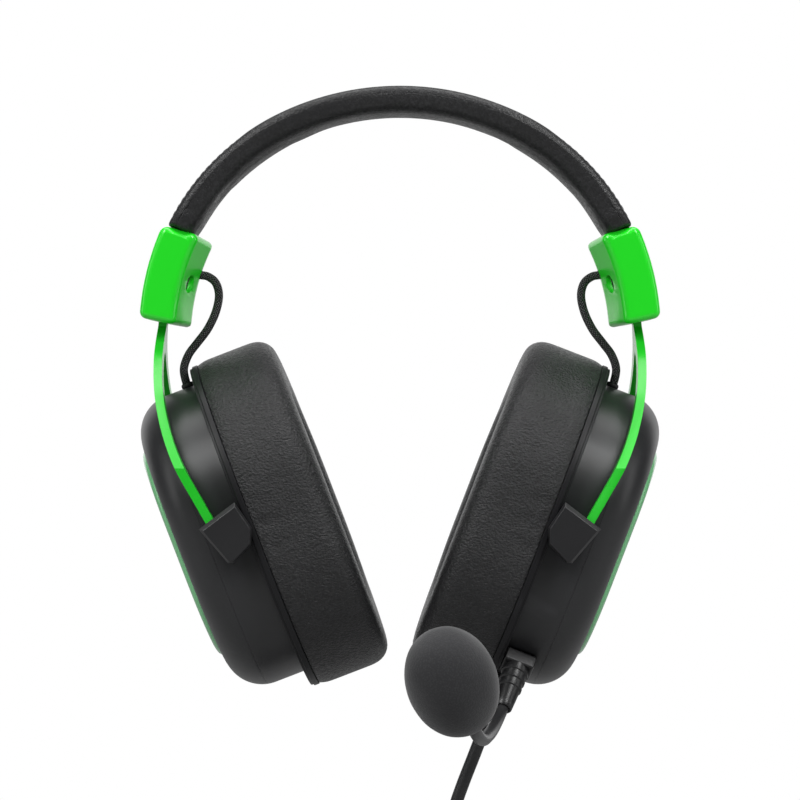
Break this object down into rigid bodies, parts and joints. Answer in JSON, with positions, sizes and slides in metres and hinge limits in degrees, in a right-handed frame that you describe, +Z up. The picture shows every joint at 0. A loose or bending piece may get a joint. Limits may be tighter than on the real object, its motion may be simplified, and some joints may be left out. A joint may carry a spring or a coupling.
{
  "type": "gaming headset",
  "caption": "Over-ear wired headset with padded sprung headband, sliding wishbone yokes, tilting padded cups, plug-in gooseneck microphone and a lead with a stereo plug.",
  "frame": {"origin": "underside of the headband at its top centre, where it rests on the head", "axes": "+Z up, -Y the way the wearer faces, +X the wearer's left, where the microphone and the lead are"},
  "size_m": [0.1686, 0.1961, 0.32],
  "materials": {
    "block_green": "smooth gloss moulded plastic",
    "yoke_green": "painted sheet steel",
    "plate_green": "painted metal",
    "soft_black": "fine matt moulded plastic",
    "leatherette": "fine grained leatherette",
    "braid": "tight braided sleeve",
    "rubber_black": "smooth soft rubber",
    "foam": "fine open foam",
    "scrim": "woven cloth",
    "steel": "plain steel",
    "black_steel": "blackened steel",
    "gold": "plated contact",
    "cone": "thin film"
  },
  "bodies": {
    "headband": {"headband_spring": "steel", "headband_cushion": "leatherette", "headband_cover": "leatherette", "block_outer_l": "block_green", "block_outer_r": "block_green", "block_inner_l": "block_green", "block_inner_r": "block_green", "block_screws_l": "black_steel", "block_screws_r": "black_steel", "slide_detent_l": "steel", "slide_detent_r": "steel", "bridge_cable_l": "braid", "bridge_cable_r": "braid"},
    "yoke_left": {"yoke_l": "yoke_green", "pivot_caps_l": "soft_black", "pivot_pins_l": "steel"},
    "yoke_right": {"yoke_r": "yoke_green", "pivot_caps_r": "soft_black", "pivot_pins_r": "steel"},
    "cup_left": {"cup_housing_l": "soft_black", "cup_shell_l": "soft_black", "side_plate_l": "plate_green", "baffle_l": "soft_black", "driver_frame_l": "soft_black", "driver_magnet_l": "steel", "driver_diaphragm_l": "cone", "ear_pad_l": "leatherette", "pad_scrim_l": "scrim", "cup_screws_l": "black_steel", "bridge_grommet_l": "rubber_black", "mic_socket": "soft_black", "lead_strain_relief": "rubber_black", "lead": "rubber_black", "lead_coil": "rubber_black", "coil_tie": "rubber_black", "lead_tail": "rubber_black", "plug_body": "rubber_black", "plug_pin": "gold"},
    "cup_right": {"cup_housing_r": "soft_black", "cup_shell_r": "soft_black", "side_plate_r": "plate_green", "baffle_r": "soft_black", "driver_frame_r": "soft_black", "driver_magnet_r": "steel", "driver_diaphragm_r": "cone", "ear_pad_r": "leatherette", "pad_scrim_r": "scrim", "cup_screws_r": "black_steel", "bridge_grommet_r": "rubber_black"},
    "mic_plug": {"mic_jack_pin": "gold", "mic_boot": "soft_black"},
    "mic_boom": {"gooseneck": "rubber_black", "mic_capsule": "soft_black", "mic_foam": "foam"}
  },
  "joints": [
    {"name": "yoke_slide_left", "type": "slide", "parent": "headband", "child": "yoke_left", "axis": [0.1045, 0, -0.9945], "range_m": [0, 0.02], "deforming": ["bridge_cable_l"]},
    {"name": "cup_tilt_left", "type": "hinge", "parent": "yoke_left", "child": "cup_left", "pos_m": [0.05365, 0, -0.13215], "axis": [0, -1, 0], "range_deg": [0, 24], "deforming": ["bridge_cable_l"]},
    {"name": "yoke_slide_right", "type": "slide", "parent": "headband", "child": "yoke_right", "axis": [-0.1045, 0, -0.9945], "range_m": [0, 0.02], "deforming": ["bridge_cable_r"]},
    {"name": "cup_tilt_right", "type": "hinge", "parent": "yoke_right", "child": "cup_right", "pos_m": [-0.05365, 0, -0.13215], "axis": [0, 1, 0], "range_deg": [0, 24], "deforming": ["bridge_cable_r"]},
    {"name": "mic_unplug", "type": "slide", "parent": "cup_left", "child": "mic_plug", "axis": [-0.288, -0.6, -0.7464], "range_m": [0, 0.015]},
    {"name": "mic_bend", "type": "hinge", "parent": "mic_plug", "child": "mic_boom", "pos_m": [0.0264, -0.07, -0.1945], "axis": [-1, 0, 0], "range_deg": [-15, 60], "deforming": ["gooseneck"]}
  ]
}
